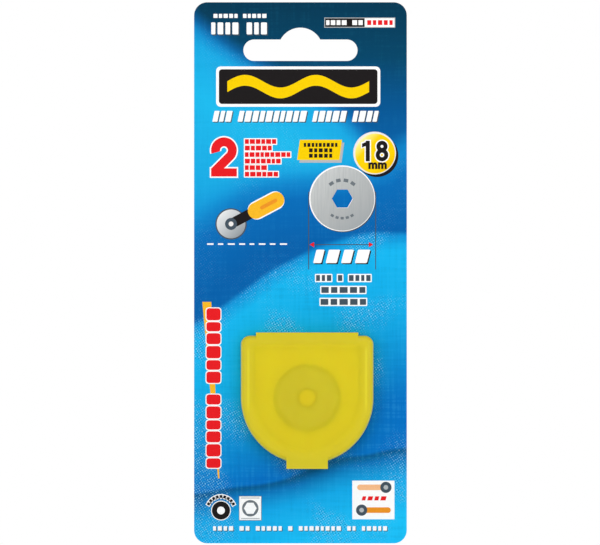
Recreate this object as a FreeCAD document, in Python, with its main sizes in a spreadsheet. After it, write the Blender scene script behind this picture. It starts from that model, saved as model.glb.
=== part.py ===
import FreeCAD, Part
import Sketcher
import math
import os

# Carded two-blade case: a printed hanging card, and on its front a hinged case that holds two
# round cutting blades on a post. Millimetres, +Z up, the card's front faces -Y.
# The origin is the top of the hang slot, half way through the card.
drivingSizes = {
    # Card
    "cardWidth": 57,
    "cardHeight": 145,
    "cardThick": 0.5,
    "cardCorner": 3.5,
    # Hang slot: a round-ended slot with a hump over its middle
    "slotInset": 6.8,
    "slotLength": 30.6,
    "slotHeight": 5.74,
    "humpRadius": 6.05,
    # Where the blades' centre lies on the card, from its top edge and its middle
    "caseDrop": 106,
    "caseShift": 1.8,
    # Pad of adhesive between the card and the case
    "padWidth": 24,
    "padHeight": 22,
    "padThick": 0.2,
    "padCorner": 2,
    # Case, seen from the front: straight sides, a round foot and two shoulders
    "caseWidth": 35.5,
    "shoulderRise": 16.65,
    "shoulderRadius": 2.4,
    "wallThick": 0.8,
    "floorThick": 0.8,
    "baseDepth": 2.6,
    "lidDepth": 1.9,
    "partingGap": 0.1,
    "backRound": 0.5,
    "frontRound": 1.5,
    # Hinge strip that stands above the shoulders, and its thin folding film
    "stripWidth": 27.4,
    "stripRise": 1.0,
    "filmThick": 0.25,
    "filmSpan": 1.6,
    "filmNotch": 0.1,
    # Finger tab at the foot of the lid
    "tabWidth": 11.1,
    "tabReach": 1.3,
    "tabThick": 1.0,
    # Fence round the blades, open at the foot, and the lips beside it
    "fenceDrop": 2.4,
    "fenceThick": 0.6,
    "fenceTipGap": 0.25,
    "sideRunFoot": 1.2,
    "lipThick": 0.7,
    "lipRise": 0.75,
    "lipLead": 0.15,
    "fitGap": 0.15,
    "beadRadius": 0.12,
    "beadLength": 8,
    # Blades and what locates them
    "bladeDiameter": 18,
    "bladeThick": 0.3,
    "bladeEdge": 0.03,
    "bevelWidth": 1.1,
    "hexFlats": 4.8,
    "bladePlay": 0.3,
    "seatInset": 1.5,
    "seatRise": 1.0,
    "postTipGap": 0.2,
    "postChamfer": 0.3,
    "ringPlay": 0.2,
    "ringWall": 0.5,
    "ringGap": 0.2,
}

# Sizes that follow from the ones above. Depths run from the case's back towards its front.
workedSizes = {
    "cardHalf": "cardWidth / 2",
    "cardFace": "cardThick / 2",
    "cardCut": "cardThick * 2",
    "cardFoot": "slotInset - cardHeight",
    "slotRound": "slotHeight / 2",
    "slotCentre": "0 - humpRadius",
    "slotReach": "(slotLength - slotHeight) / 2",
    "humpReach": "sqrt(humpRadius ^ 2 - slotRound ^ 2)",
    "caseHalf": "caseWidth / 2",
    "caseHeight": "slotInset - caseDrop",
    "caseBack": "cardThick / 2 + padThick",
    "padHalf": "padWidth / 2",
    "padRise": "padHeight / 2",
    "innerHalf": "caseHalf - wallThick",
    "innerRise": "shoulderRise - wallThick",
    "innerRadius": "max(shoulderRadius - wallThick; wallThick / 4)",
    "baseHollow": "baseDepth - floorThick",
    "rimDepth": "baseDepth + partingGap",
    "frontDepth": "rimDepth + lidDepth",
    "lidHollow": "lidDepth - floorThick",
    "ceilingDepth": "frontDepth - floorThick",
    "innerRound": "max(frontRound - wallThick; wallThick / 4)",
    "stripHalf": "stripWidth / 2",
    "stripTop": "shoulderRise + stripRise - filmThick",
    "stripFoot": "shoulderRise - max(frontRound; wallThick)",
    "filmTop": "shoulderRise + stripRise",
    "filmBack": "baseDepth + (partingGap - filmSpan) / 2",
    "filmFront": "baseDepth + (partingGap + filmSpan) / 2",
    "notchDepth": "baseDepth + partingGap / 2",
    "notchDiameter": "filmNotch * 4",
    "notchHeight": "filmTop + filmNotch",
    "tabHalf": "tabWidth / 2",
    "tabFoot": "0 - caseHalf - tabReach",
    "tabRoot": "0 - caseHalf + 2 * frontRound",
    "fenceTop": "shoulderRise - fenceDrop",
    "fenceInnerTop": "fenceTop - fenceThick",
    "fenceInnerHalf": "stripHalf - fenceThick",
    "fenceFoot": "0 - sideRunFoot",
    "fenceRise": "ceilingDepth - fenceTipGap - floorThick",
    "lipOuter": "innerHalf - fitGap",
    "lipInner": "lipOuter - lipThick",
    "lipTop": "baseDepth + lipRise",
    "lipHeight": "lipTop - floorThick",
    "shelfOuter": "caseHalf - wallThick / 2",
    "beadDepth": "baseDepth + lipRise / 2",
    "leadWidth": "min(lipLead; lipRise / 2 - beadRadius * 1.2)",
    "beadFoot": "(fenceTop - sideRunFoot - beadLength) / 2",
    "grooveRadius": "beadRadius + fitGap / 2",
    "grooveDiameter": "grooveRadius * 2",
    "beadDiameter": "beadRadius * 2",
    "grooveFoot": "beadFoot - fitGap",
    "grooveLength": "beadLength + 2 * fitGap",
    "bladeRadius": "bladeDiameter / 2",
    "bladeFlat": "bladeRadius - bevelWidth",
    "bladeHalf": "bladeThick / 2",
    "edgeHalf": "bladeEdge / 2",
    "bladeCut": "bladeThick * 2",
    "hexSide": "hexFlats / sqrt(3)",
    "seatDiameter": "bladeDiameter - 2 * seatInset",
    "seatDepth": "floorThick + seatRise",
    "postDiameter": "hexFlats - 2 * bladePlay",
    "postDepth": "ceilingDepth - postTipGap",
    "postRise": "postDepth - seatDepth",
    "ringInner": "postDiameter + 2 * ringPlay",
    "ringOuter": "ringInner + 2 * ringWall",
    "ringRise": "ceilingDepth - seatDepth - 2 * bladeThick - ringGap",
    "rearBladeFace": "caseBack + seatDepth + bladeHalf",
    "frontBladeFace": "rearBladeFace + bladeThick",
}

# Two lengths nearer than this count as the same
closeEnough = 0.001

# The hinge strip's outline, the same on both halves of the case
stripCorners = [
    ("-stripHalf", "stripFoot"), ("stripHalf", "stripFoot"),
    ("stripHalf", "stripTop"), ("-stripHalf", "stripTop"),
]

doc = FreeCAD.newDocument("CardedBladeCase")
sheet = doc.addObject("Spreadsheet::Sheet", "Sizes")


def sideRun(inner, outer):
    """An upright band beside the straight side of the case, as long as the fence."""
    return [(inner, "fenceFoot"), (outer, "fenceFoot"), (outer, "fenceTop"), (inner, "fenceTop")]


def fillSheet():
    row = 0
    for name, number in drivingSizes.items():
        row += 1
        sheet.set(f"A{row}", name)
        sheet.set(f"B{row}", str(number))
        sheet.setAlias(f"B{row}", name)
    for name, formula in workedSizes.items():
        row += 1
        sheet.set(f"A{row}", name)
        sheet.set(f"B{row}", "=" + formula)
        sheet.setAlias(f"B{row}", name)
    doc.recompute()


def size(name):
    """A size as a number. A leading minus gives its negative."""
    if name.startswith("-"):
        return -float(sheet.get(name[1:]))
    return float(sheet.get(name))


def cell(name):
    """The same size as an expression, so that what uses it follows the sheet."""
    if name.startswith("-"):
        return "-Sizes." + name[1:]
    return "Sizes." + name


def makeBody(label, right=None, back=None, up=None):
    body = doc.addObject("PartDesign::Body", label)
    body.Label = label
    for axis, name in (("x", right), ("y", back), ("z", up)):
        if name:
            body.setExpression(f"Placement.Base.{axis}", cell(name))
    return body


def makeSketch(body, name, depth=None, plane="XZ_Plane"):
    """A sketch on one of the body's own planes, moved along its normal by a depth."""
    sketch = body.newObject("Sketcher::SketchObject", name)
    support = [f for f in body.Origin.OriginFeatures if f.Role == plane][0]
    sketch.AttachmentSupport = [(support, "")]
    sketch.MapMode = "FlatFace"
    if depth:
        sketch.setExpression("AttachmentOffset.Base.z", cell(depth))
    return sketch


def bind(sketch, kind, where, name):
    """A dimension of a sketch that follows the sheet."""
    number = sketch.addConstraint(Sketcher.Constraint(kind, *where, size(name)))
    sketch.setExpression(f"Constraints[{number}]", cell(name))


def point(right, up):
    return FreeCAD.Vector(right, up, 0)


def drawSteps(sketch, corners):
    """A closed outline of level and upright lines through the corners, given by name."""
    count = len(corners)
    spots = [point(size(right), size(up)) for right, up in corners]
    lines = []
    for here in range(count):
        line = Part.LineSegment(spots[here], spots[(here + 1) % count])
        lines.append(sketch.addGeometry(line, False))
    for here in range(count):
        after = (here + 1) % count
        sketch.addConstraint(Sketcher.Constraint("Coincident", lines[here], 2, lines[after], 1))
        if corners[here][0] == corners[after][0]:
            sketch.addConstraint(Sketcher.Constraint("Vertical", lines[here]))
            bind(sketch, "DistanceX", (-1, 1, lines[here], 1), corners[here][0])
        else:
            sketch.addConstraint(Sketcher.Constraint("Horizontal", lines[here]))
            bind(sketch, "DistanceY", (-1, 1, lines[here], 1), corners[here][1])


def upward():
    return FreeCAD.Vector(0, 0, 1)


def drawCircle(sketch, diameter, right=None, up=None):
    """A circle of a named diameter, centred on the origin unless a place is named."""
    centre = point(size(right) if right else 0, size(up) if up else 0)
    circle = sketch.addGeometry(Part.Circle(centre, upward(), size(diameter) / 2), False)
    if right:
        bind(sketch, "DistanceX", (-1, 1, circle, 3), right)
    else:
        sketch.addConstraint(Sketcher.Constraint("PointOnObject", circle, 3, -2))
    if up:
        bind(sketch, "DistanceY", (-1, 1, circle, 3), up)
    else:
        sketch.addConstraint(Sketcher.Constraint("PointOnObject", circle, 3, -1))
    bind(sketch, "Diameter", (circle,), diameter)


def drawArc(sketch, right, up, radius, start, end):
    """An arc, turning leftwards from one angle to the other, in degrees."""
    circle = Part.Circle(point(right, up), upward(), radius)
    arc = Part.ArcOfCircle(circle, math.radians(start), math.radians(end))
    return sketch.addGeometry(arc, False)


def drawLine(sketch, start, end):
    return sketch.addGeometry(Part.LineSegment(point(*start), point(*end)), False)


def joinSmoothly(sketch, *pairs):
    """Each pair of ends meets in line: piece and end, piece and end (1 start, 2 end)."""
    for pair in pairs:
        sketch.addConstraint(Sketcher.Constraint("Tangent", *pair))


def drawRoundedBox(sketch, half, top, foot, corner):
    """A rectangle with four equal round corners, the same to the left as to the right."""
    side, high, low, bend = size(half), size(top), size(foot), size(corner)
    upper = drawLine(sketch, (-side + bend, high), (side - bend, high))
    right = drawLine(sketch, (side, high - bend), (side, low + bend))
    lower = drawLine(sketch, (side - bend, low), (-side + bend, low))
    left = drawLine(sketch, (-side, low + bend), (-side, high - bend))
    corners = [
        drawArc(sketch, side - bend, high - bend, bend, 0, 90),
        drawArc(sketch, side - bend, low + bend, bend, 270, 360),
        drawArc(sketch, -side + bend, low + bend, bend, 180, 270),
        drawArc(sketch, -side + bend, high - bend, bend, 90, 180),
    ]
    joinSmoothly(
        sketch,
        (upper, 2, corners[0], 2), (corners[0], 1, right, 1),
        (right, 2, corners[1], 2), (corners[1], 1, lower, 1),
        (lower, 2, corners[2], 2), (corners[2], 1, left, 1),
        (left, 2, corners[3], 2), (corners[3], 1, upper, 1),
    )
    for line in (upper, lower):
        sketch.addConstraint(Sketcher.Constraint("Horizontal", line))
    for line in (right, left):
        sketch.addConstraint(Sketcher.Constraint("Vertical", line))
    for other in corners[1:]:
        sketch.addConstraint(Sketcher.Constraint("Equal", corners[0], other))
    bind(sketch, "Radius", (corners[0],), corner)
    bind(sketch, "DistanceX", (-1, 1, right, 1), half)
    bind(sketch, "DistanceX", (-1, 1, left, 1), "-" + half)
    bind(sketch, "DistanceY", (-1, 1, upper, 1), top)
    bind(sketch, "DistanceY", (-1, 1, lower, 1), foot)


def drawCaseOutline(sketch, half, top, corner):
    """The case's outline: a half circle below the blades' centre, straight sides, round shoulders."""
    side, high, bend = size(half), size(top), size(corner)
    shoulder = drawLine(sketch, (-side + bend, high), (side - bend, high))
    rightBend = drawArc(sketch, side - bend, high - bend, bend, 0, 90)
    right = drawLine(sketch, (side, high - bend), (side, 0))
    foot = drawArc(sketch, 0, 0, side, 180, 360)
    left = drawLine(sketch, (-side, 0), (-side, high - bend))
    leftBend = drawArc(sketch, -side + bend, high - bend, bend, 90, 180)
    joinSmoothly(
        sketch,
        (shoulder, 2, rightBend, 2), (rightBend, 1, right, 1), (right, 2, foot, 2),
        (foot, 1, left, 1), (left, 2, leftBend, 2), (leftBend, 1, shoulder, 1),
    )
    sketch.addConstraint(Sketcher.Constraint("Coincident", foot, 3, -1, 1))
    sketch.addConstraint(Sketcher.Constraint("Horizontal", shoulder))
    sketch.addConstraint(Sketcher.Constraint("Vertical", right))
    sketch.addConstraint(Sketcher.Constraint("Vertical", left))
    sketch.addConstraint(Sketcher.Constraint("Equal", rightBend, leftBend))
    bind(sketch, "Radius", (foot,), half)
    bind(sketch, "Radius", (rightBend,), corner)
    bind(sketch, "DistanceY", (-1, 1, shoulder, 1), top)


def drawHangSlot(sketch):
    """The slot's round ends and, over its middle, a hump struck from the slot's own centre."""
    reach, bend, centre = size("slotReach"), size("slotRound"), size("slotCentre")
    hump, start = size("humpRadius"), size("humpReach")
    angle = math.degrees(math.asin(bend / hump))
    arch = drawArc(sketch, 0, centre, hump, angle, 180 - angle)
    upperLeft = drawLine(sketch, (-start, centre + bend), (-reach, centre + bend))
    leftEnd = drawArc(sketch, -reach, centre, bend, 90, 270)
    lower = drawLine(sketch, (-reach, centre - bend), (reach, centre - bend))
    rightEnd = drawArc(sketch, reach, centre, bend, 270, 450)
    upperRight = drawLine(sketch, (reach, centre + bend), (start, centre + bend))
    sketch.addConstraint(Sketcher.Constraint("Coincident", arch, 2, upperLeft, 1))
    sketch.addConstraint(Sketcher.Constraint("Coincident", upperRight, 2, arch, 1))
    joinSmoothly(
        sketch,
        (upperLeft, 2, leftEnd, 1), (leftEnd, 2, lower, 1),
        (lower, 2, rightEnd, 1), (rightEnd, 2, upperRight, 1),
    )
    for line in (upperLeft, lower, upperRight):
        sketch.addConstraint(Sketcher.Constraint("Horizontal", line))
    sketch.addConstraint(Sketcher.Constraint("PointOnObject", arch, 3, -2))
    bind(sketch, "DistanceY", (-1, 1, arch, 3), "slotCentre")
    bind(sketch, "Radius", (arch,), "humpRadius")
    bind(sketch, "DistanceX", (-1, 1, rightEnd, 3), "slotReach")
    bind(sketch, "DistanceX", (-1, 1, leftEnd, 3), "-slotReach")
    bind(sketch, "DistanceY", (-1, 1, rightEnd, 3), "slotCentre")
    bind(sketch, "Radius", (rightEnd,), "slotRound")


def pad(body, name, sketch, length, backward=False, bothWays=False):
    feature = body.newObject("PartDesign::Pad", name)
    feature.Profile = sketch
    feature.setExpression("Length", cell(length))
    feature.Reversed = backward
    if bothWays:
        feature.SideType = "Symmetric"
    return feature


def pocket(body, name, sketch, length, forward=False, bothWays=False):
    """A cut that goes back from the sketch, or forward, or both ways."""
    feature = body.newObject("PartDesign::Pocket", name)
    feature.Profile = sketch
    feature.setExpression("Length", cell(length))
    feature.Reversed = forward
    if bothWays:
        feature.SideType = "Symmetric"
    return feature


def mirror(body, name, *features):
    """The same again on the other side of the case's middle."""
    feature = body.newObject("PartDesign::Mirrored", name)
    feature.Originals = list(features)
    plane = [f for f in body.Origin.OriginFeatures if f.Role == "YZ_Plane"][0]
    feature.MirrorPlane = (plane, [""])
    body.Tip = feature
    return feature


def near(one, other):
    return abs(one - other) < closeEnough


def edgesAtDepth(shape, depth, keep=None):
    """Names of the edges that lie flat at one depth. A test on an edge's middle narrows them."""
    found = []
    for number, edge in enumerate(shape.Edges, 1):
        middle = edge.valueAt((edge.FirstParameter + edge.LastParameter) / 2)
        flat = near(edge.BoundBox.YMin, -depth) and near(edge.BoundBox.YMax, -depth)
        if flat and (keep is None or keep(middle)):
            found.append(f"Edge{number}")
    return found


def roundEdges(body, name, base, edges, radius):
    feature = body.newObject("PartDesign::Fillet", name)
    feature.Base = (base, edges)
    feature.setExpression("Radius", cell(radius))
    return feature


def cutEdges(body, name, base, edges, width):
    feature = body.newObject("PartDesign::Chamfer", name)
    feature.Base = (base, edges)
    feature.setExpression("Size", cell(width))
    return feature


def makeCard():
    body = makeBody("card")
    board = makeSketch(body, "CardOutline")
    drawRoundedBox(board, "cardHalf", "slotInset", "cardFoot", "cardCorner")
    pad(body, "CardBoard", board, "cardThick", bothWays=True)
    slot = makeSketch(body, "HangSlot")
    drawHangSlot(slot)
    pocket(body, "HangSlotCut", slot, "cardCut", bothWays=True)
    return body


def makePad():
    body = makeBody("adhesive_pad", "caseShift", "-cardFace", "caseHeight")
    patch = makeSketch(body, "PadOutline")
    drawRoundedBox(patch, "padHalf", "padRise", "-padRise", "padCorner")
    pad(body, "Pad", patch, "padThick")
    return body


def makeBase():
    """The half that lies on the card: a tray with a seat and a post for the blades."""
    body = makeBody("case_base", "caseShift", "-caseBack", "caseHeight")
    outline = makeSketch(body, "BaseOutline")
    drawCaseOutline(outline, "caseHalf", "shoulderRise", "shoulderRadius")
    block = pad(body, "BaseBlock", outline, "baseDepth")
    doc.recompute()
    roundEdges(body, "BackEdge", block, edgesAtDepth(block.Shape, 0), "backRound")

    strip = makeSketch(body, "BaseStripOutline")
    drawSteps(strip, stripCorners)
    pad(body, "BaseStrip", strip, "baseDepth")

    hollow = makeSketch(body, "BaseHollowOutline", "baseDepth")
    drawCaseOutline(hollow, "innerHalf", "innerRise", "innerRadius")
    pocket(body, "BaseHollow", hollow, "baseHollow")

    seat = makeSketch(body, "SeatOutline", "floorThick")
    drawCircle(seat, "seatDiameter")
    pad(body, "Seat", seat, "seatRise")

    post = makeSketch(body, "PostOutline", "seatDepth")
    drawCircle(post, "postDiameter")
    column = pad(body, "Post", post, "postRise")
    doc.recompute()
    cutEdges(body, "PostTip", column, edgesAtDepth(column.Shape, size("postDepth")), "postChamfer")

    fence = makeSketch(body, "FenceOutline", "floorThick")
    drawSteps(fence, [
        ("-stripHalf", "fenceFoot"), ("-stripHalf", "fenceTop"),
        ("stripHalf", "fenceTop"), ("stripHalf", "fenceFoot"),
        ("fenceInnerHalf", "fenceFoot"), ("fenceInnerHalf", "fenceInnerTop"),
        ("-fenceInnerHalf", "fenceInnerTop"), ("-fenceInnerHalf", "fenceFoot"),
    ])
    pad(body, "Fence", fence, "fenceRise")

    shelf = makeSketch(body, "LipShelfOutline", "floorThick")
    drawSteps(shelf, sideRun("lipInner", "shelfOuter"))
    shelfPad = pad(body, "LipShelf", shelf, "baseHollow")
    lip = makeSketch(body, "LipOutline", "floorThick")
    drawSteps(lip, sideRun("lipInner", "lipOuter"))
    lipPad = pad(body, "Lip", lip, "lipHeight")
    bead = makeSketch(body, "BeadOutline", "beadFoot", "XY_Plane")
    drawCircle(bead, "beadDiameter", "lipOuter", "-beadDepth")
    beadPad = pad(body, "Bead", bead, "beadLength")
    sides = mirror(body, "OtherSide", shelfPad, lipPad, beadPad)
    doc.recompute()
    outer = edgesAtDepth(sides.Shape, size("lipTop"), lambda middle: near(abs(middle.x), size("lipOuter")))
    cutEdges(body, "LipLead", sides, outer, "leadWidth")
    return body


def makeLid():
    """The half that swings: one flat front that runs on into the hinge strip and the finger tab."""
    body = makeBody("case_lid", "caseShift", "-caseBack", "caseHeight")
    outline = makeSketch(body, "LidOutline", "rimDepth")
    drawCaseOutline(outline, "caseHalf", "shoulderRise", "shoulderRadius")
    block = pad(body, "LidBlock", outline, "lidDepth")
    doc.recompute()
    front = edgesAtDepth(block.Shape, size("frontDepth"))
    roundEdges(body, "FrontEdge", block, front, "frontRound")

    strip = makeSketch(body, "LidStripOutline", "rimDepth")
    drawSteps(strip, stripCorners)
    pad(body, "LidStrip", strip, "lidDepth")

    tab = makeSketch(body, "TabOutline", "frontDepth")
    drawSteps(tab, [
        ("-tabHalf", "tabFoot"), ("tabHalf", "tabFoot"), ("tabHalf", "tabRoot"), ("-tabHalf", "tabRoot"),
    ])
    pad(body, "Tab", tab, "tabThick", backward=True)

    hollow = makeSketch(body, "LidHollowOutline", "rimDepth")
    drawCaseOutline(hollow, "innerHalf", "innerRise", "innerRadius")
    cavity = pocket(body, "LidHollow", hollow, "lidHollow", forward=True)
    doc.recompute()
    lowest = -size("innerHalf") - closeEnough
    ceiling = edgesAtDepth(cavity.Shape, size("ceilingDepth"), lambda middle: middle.z > lowest)
    roundEdges(body, "InnerEdge", cavity, ceiling, "innerRound")

    ring = makeSketch(body, "RingOutline", "ceilingDepth")
    drawCircle(ring, "ringOuter")
    drawCircle(ring, "ringInner")
    pad(body, "HoldDownRing", ring, "ringRise", backward=True)

    groove = makeSketch(body, "GrooveOutline", "grooveFoot", "XY_Plane")
    drawCircle(groove, "grooveDiameter", "innerHalf", "-beadDepth")
    cut = pocket(body, "BeadGroove", groove, "grooveLength", forward=True)
    mirror(body, "OtherGroove", cut)
    return body


def makeHinge():
    """The thin film that folds: it bridges both hinge strips and is thinnest along the fold."""
    body = makeBody("living_hinge", "caseShift", "-caseBack", "caseHeight")
    film = makeSketch(body, "FilmProfile", plane="YZ_Plane")
    drawSteps(film, [
        ("-filmFront", "stripTop"), ("-filmBack", "stripTop"), ("-filmBack", "filmTop"), ("-filmFront", "filmTop"),
    ])
    pad(body, "Film", film, "stripWidth", bothWays=True)
    notch = makeSketch(body, "NotchProfile", plane="YZ_Plane")
    drawCircle(notch, "notchDiameter", "-notchDepth", "notchHeight")
    pocket(body, "FoldNotch", notch, "stripWidth", bothWays=True)
    return body


def makeBlade(label, depth):
    """A steel disc with a two-sided ground edge and a six-sided hole."""
    body = makeBody(label, "caseShift", depth, "caseHeight")
    profile = makeSketch(body, "BladeProfile", plane="XY_Plane")
    rim, flat = size("bladeRadius"), size("bladeFlat")
    half, edge = size("bladeHalf"), size("edgeHalf")
    spots = [(0, -half), (flat, -half), (rim, -edge), (rim, edge), (flat, half), (0, half)]
    lines = [drawLine(profile, spots[n], spots[(n + 1) % len(spots)]) for n in range(len(spots))]
    for n in range(len(lines)):
        after = lines[(n + 1) % len(lines)]
        profile.addConstraint(Sketcher.Constraint("Coincident", lines[n], 2, after, 1))
    back, lowerBevel, edgeLine, upperBevel, front, axis = lines
    for line in (back, front):
        profile.addConstraint(Sketcher.Constraint("Horizontal", line))
    profile.addConstraint(Sketcher.Constraint("PointOnObject", axis, 1, -2))
    profile.addConstraint(Sketcher.Constraint("Symmetric", edgeLine, 1, edgeLine, 2, -1))
    profile.addConstraint(Sketcher.Constraint("Symmetric", axis, 1, axis, 2, -1))
    bind(profile, "DistanceX", (-1, 1, edgeLine, 1), "bladeRadius")
    bind(profile, "DistanceX", (-1, 1, lowerBevel, 1), "bladeFlat")
    bind(profile, "DistanceX", (-1, 1, upperBevel, 2), "bladeFlat")
    bind(profile, "DistanceY", (edgeLine, 1, edgeLine, 2), "bladeEdge")
    bind(profile, "DistanceY", (back, 1, front, 2), "bladeThick")
    disc = body.newObject("PartDesign::Revolution", "BladeDisc")
    disc.Profile = profile
    disc.ReferenceAxis = (profile, ["V_Axis"])
    disc.Angle = 360

    hole = makeSketch(body, "HexHole")
    side = size("hexSide")
    turns = [n * math.pi / 3 for n in range(6)]
    corners = [(side * math.cos(turn), side * math.sin(turn)) for turn in turns]
    sides = [drawLine(hole, corners[n], corners[(n + 1) % 6]) for n in range(6)]
    ringLine = hole.addGeometry(Part.Circle(point(0, 0), upward(), side), True)
    hole.addConstraint(Sketcher.Constraint("Coincident", ringLine, 3, -1, 1))
    for n in range(6):
        hole.addConstraint(Sketcher.Constraint("Coincident", sides[n], 2, sides[(n + 1) % 6], 1))
        hole.addConstraint(Sketcher.Constraint("PointOnObject", sides[n], 1, ringLine))
    for n in range(1, 6):
        hole.addConstraint(Sketcher.Constraint("Equal", sides[0], sides[n]))
    hole.addConstraint(Sketcher.Constraint("PointOnObject", sides[0], 1, -1))
    bind(hole, "Radius", (ringLine,), "hexSide")
    pocket(body, "HexHoleCut", hole, "bladeCut", bothWays=True)
    return body


def checkPart(subParts):
    """Every object has come out whole, and each cut took something away and each pad added."""
    for thing in doc.Objects:
        if "Invalid" in thing.State or "Error" in thing.State:
            raise RuntimeError(f"{thing.Name} failed: {thing.State}")
    for body in subParts:
        before = 0.0
        for feature in body.Group:
            if not feature.isDerivedFrom("PartDesign::Feature"):
                continue
            volume = feature.Shape.Volume
            cuts = feature.TypeId == "PartDesign::Pocket"
            grows = feature.TypeId in ("PartDesign::Pad", "PartDesign::Revolution")
            if (cuts and volume >= before) or (grows and volume <= before):
                raise RuntimeError(f"{feature.Name} changed nothing")
            before = volume
        shape = body.Shape
        if shape.isNull() or not shape.isValid() or len(shape.Solids) != 1:
            raise RuntimeError(f"{body.Label} isn't one good solid")
        box = shape.optimalBoundingBox(False)
        print(f"{body.Label}: {shape.Volume:.2f} mm3, x {box.XMin:.2f} to {box.XMax:.2f},"
              f" y {box.YMin:.2f} to {box.YMax:.2f}, z {box.ZMin:.2f} to {box.ZMax:.2f}")


fillSheet()
parts = [
    makeCard(),
    makePad(),
    makeBase(),
    makeLid(),
    makeHinge(),
    makeBlade("rear_blade", "-rearBladeFace"),
    makeBlade("front_blade", "-frontBladeFace"),
]
doc.recompute()
checkPart(parts)
os.makedirs("parts", exist_ok=True)
for part in parts:
    part.Shape.exportStep(f"parts/{part.Label}.step")
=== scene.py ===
from math import atan2, cos, degrees, hypot, pi, radians, sin

import bpy
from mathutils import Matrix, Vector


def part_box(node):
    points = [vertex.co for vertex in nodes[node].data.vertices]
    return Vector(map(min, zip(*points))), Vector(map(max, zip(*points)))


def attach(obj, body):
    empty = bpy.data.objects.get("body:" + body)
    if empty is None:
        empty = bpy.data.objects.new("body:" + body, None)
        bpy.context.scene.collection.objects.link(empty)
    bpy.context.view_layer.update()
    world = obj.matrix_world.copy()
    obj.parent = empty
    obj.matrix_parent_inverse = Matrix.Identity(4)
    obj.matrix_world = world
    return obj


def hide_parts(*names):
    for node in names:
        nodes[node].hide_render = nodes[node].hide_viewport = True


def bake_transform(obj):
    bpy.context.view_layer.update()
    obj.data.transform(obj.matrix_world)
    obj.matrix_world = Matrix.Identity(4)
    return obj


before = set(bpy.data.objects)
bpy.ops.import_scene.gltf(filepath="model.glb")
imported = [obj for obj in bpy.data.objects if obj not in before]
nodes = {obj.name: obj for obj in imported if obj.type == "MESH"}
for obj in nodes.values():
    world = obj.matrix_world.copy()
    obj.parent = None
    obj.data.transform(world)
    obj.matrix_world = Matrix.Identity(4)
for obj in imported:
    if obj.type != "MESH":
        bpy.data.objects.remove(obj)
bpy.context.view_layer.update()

mm = 0.001
cardLow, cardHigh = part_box("card")
caseLow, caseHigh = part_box("case_lid")
bladeLow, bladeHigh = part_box("front_blade")
filmLow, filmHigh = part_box("living_hinge")
cardFace = cardLow.y  # the printed face, which looks along -Y
bladeCentre = (bladeLow + bladeHigh) / 2
bladePlace = (bladeCentre.x / mm, bladeCentre.z / mm)
bladeRadius = (bladeHigh.x - bladeLow.x) / 2 / mm


# Small helpers for colours and shader nodes

def screenColour(*channels):
    # an 8-bit screen colour as the linear one that shaders take
    values = [channel / 255 for channel in channels]
    return (*[v / 12.92 if v <= 0.04045 else ((v + 0.055) / 1.055) ** 2.4 for v in values], 1.0)


def newMaterial(name):
    material = bpy.data.materials.new(name)
    material.use_nodes = True
    return material, material.node_tree.nodes["Principled BSDF"]


def addNode(source, kind):
    # a new node in the tree that source, a node or a socket, belongs to
    return source.id_data.nodes.new(kind)


def plug(value, socket):
    # links a socket, or sets a number, a linear colour of four parts or a screen colour of three
    if isinstance(value, bpy.types.NodeSocket):
        socket.id_data.links.new(value, socket)
    elif isinstance(value, tuple) and len(value) == 3:
        socket.default_value = screenColour(*value)
    else:
        socket.default_value = value


def setInputs(node, values):
    for name, value in values.items():
        node.inputs[name].default_value = value


def calc(operation, *values):
    source = next(value for value in values if isinstance(value, bpy.types.NodeSocket))
    node = addNode(source, "ShaderNodeMath")
    node.operation = operation
    for socket, value in zip(node.inputs, values):
        plug(value, socket)
    return node.outputs[0]


def times(first, *others):
    for value in others:
        first = calc("MULTIPLY", first, value)
    return first


def sumOf(first, firstShare, second, secondShare):
    return calc("MULTIPLY_ADD", first, firstShare, times(second, secondShare))


def offsets(across, along, centre):
    return calc("SUBTRACT", across, centre[0]), calc("SUBTRACT", along, centre[1])


def lengthOf(offX, offZ):
    return calc("SQRT", sumOf(offX, offX, offZ, offZ))


def around(value, middle, spread):
    # strays evenly to both sides of the middle as value runs from 0 to 1
    return calc("MULTIPLY_ADD", value, spread, middle - spread / 2)


def soften(value, low, high, bottom=0.0, top=1.0):
    # a smooth step of value, from bottom at low to top at high
    node = addNode(value, "ShaderNodeMapRange")
    node.interpolation_type = "SMOOTHSTEP"
    setInputs(node, {"From Min": low, "From Max": high, "To Min": bottom, "To Max": top})
    plug(value, node.inputs["Value"])
    return node.outputs["Result"]


def plateau(value, steps):
    # 0 outside the four steps, 1 between the middle two
    low, first, last, high = steps
    return times(soften(value, low, first), soften(value, high, last))


def mix(share, first, second, kind="RGBA"):
    # first where share is 0, second where it is 1; kind FLOAT takes numbers instead of colours
    node = addNode(share, "ShaderNodeMix")
    node.data_type = kind
    start, result = {"RGBA": (6, 2), "FLOAT": (2, 0)}[kind]
    for index, value in ((0, share), (start, first), (start + 1, second)):
        plug(value, node.inputs[index])
    return node.outputs[result]


def millimetres(shader):
    # object coordinates in millimetres, and their three parts
    scaled = addNode(shader, "ShaderNodeVectorMath")
    scaled.operation = "SCALE"
    scaled.inputs["Scale"].default_value = 1 / mm
    plug(addNode(shader, "ShaderNodeTexCoord").outputs["Object"], scaled.inputs[0])
    parts = addNode(shader, "ShaderNodeSeparateXYZ")
    plug(scaled.outputs[0], parts.inputs[0])
    return scaled.outputs[0], *parts.outputs


def stretched(vector, *factors):
    node = addNode(vector, "ShaderNodeVectorMath")
    node.operation = "MULTIPLY"
    plug(vector, node.inputs[0])
    node.inputs[1].default_value = factors
    return node.outputs[0]


def noise(vector, perMillimetre, detail=2.0, roughness=0.5):
    node = addNode(vector, "ShaderNodeTexNoise")
    plug(vector, node.inputs["Vector"])
    setInputs(node, {"Scale": perMillimetre, "Detail": detail, "Roughness": roughness})
    return node.outputs["Fac"]


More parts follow.
